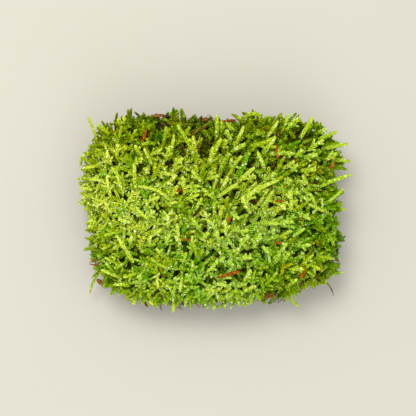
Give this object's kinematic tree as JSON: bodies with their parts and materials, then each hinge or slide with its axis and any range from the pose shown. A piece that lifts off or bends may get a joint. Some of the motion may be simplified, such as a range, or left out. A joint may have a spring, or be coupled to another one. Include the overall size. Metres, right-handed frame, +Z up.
{
  "type": "moss clump",
  "caption": "Low clump of living feather moss on a mat of its own dead stems, cut flat below, with leafy shoots and plant litter on top.",
  "frame": {"origin": "middle of the flat cut underside: the centre of the clump's box from above, at the level it rests on", "axes": "+X along the clump's longer side, +Y towards its back edge, +Z up, the way the shoots grow"},
  "size_m": [0.1463, 0.1102, 0.0398],
  "materials": {
    "living_moss": "damp translucent leaves, yellow-green, satin with small wet glints",
    "dead_moss": "matted dead brown stems and leaves, matt",
    "bud_scales": "rust-orange papery scale, satin",
    "needles": "orange-brown dry needle, satin",
    "dead_leaf": "tan to brown dead leaf, matt",
    "dead_stems": "thin bare brown stem, matt"
  },
  "bodies": {
    "root": {"moss_turf": "living_moss", "brown_mat": "dead_moss", "loose_shoot_01": "living_moss", "loose_shoot_02": "living_moss", "loose_shoot_03": "living_moss", "loose_shoot_04": "living_moss", "loose_shoot_05": "living_moss", "loose_shoot_06": "living_moss", "loose_shoot_07": "living_moss", "loose_shoot_08": "living_moss", "loose_shoot_09": "living_moss", "loose_shoot_10": "living_moss", "loose_shoot_11": "living_moss", "loose_shoot_12": "living_moss", "loose_shoot_13": "living_moss", "loose_shoot_14": "living_moss", "loose_shoot_15": "living_moss", "loose_shoot_16": "living_moss", "loose_shoot_17": "living_moss", "loose_shoot_18": "living_moss", "loose_shoot_19": "living_moss", "loose_shoot_20": "living_moss", "loose_shoot_21": "living_moss", "loose_shoot_22": "living_moss", "loose_shoot_23": "living_moss", "loose_shoot_24": "living_moss", "loose_shoot_25": "living_moss", "loose_shoot_26": "living_moss", "loose_shoot_27": "living_moss", "loose_shoot_28": "living_moss", "loose_shoot_29": "living_moss", "loose_shoot_30": "living_moss", "loose_shoot_31": "living_moss", "loose_shoot_32": "living_moss", "loose_shoot_33": "living_moss", "bud_scale_01": "bud_scales", "bud_scale_02": "bud_scales", "bud_scale_03": "bud_scales", "bud_scale_04": "bud_scales", "bud_scale_05": "bud_scales", "bud_scale_06": "bud_scales", "needle_01": "needles", "needle_02": "needles", "needle_03": "needles", "needle_04": "needles", "needle_05": "needles", "needle_06": "needles", "needle_07": "needles", "needle_08": "needles", "leaf_scrap_01": "dead_leaf", "leaf_scrap_02": "dead_leaf", "leaf_scrap_03": "dead_leaf", "leaf_scrap_04": "dead_leaf", "dead_stem_01": "dead_stems", "dead_stem_02": "dead_stems", "dead_stem_03": "dead_stems", "dead_stem_04": "dead_stems", "dead_stem_05": "dead_stems"}
  },
  "joints": []
}
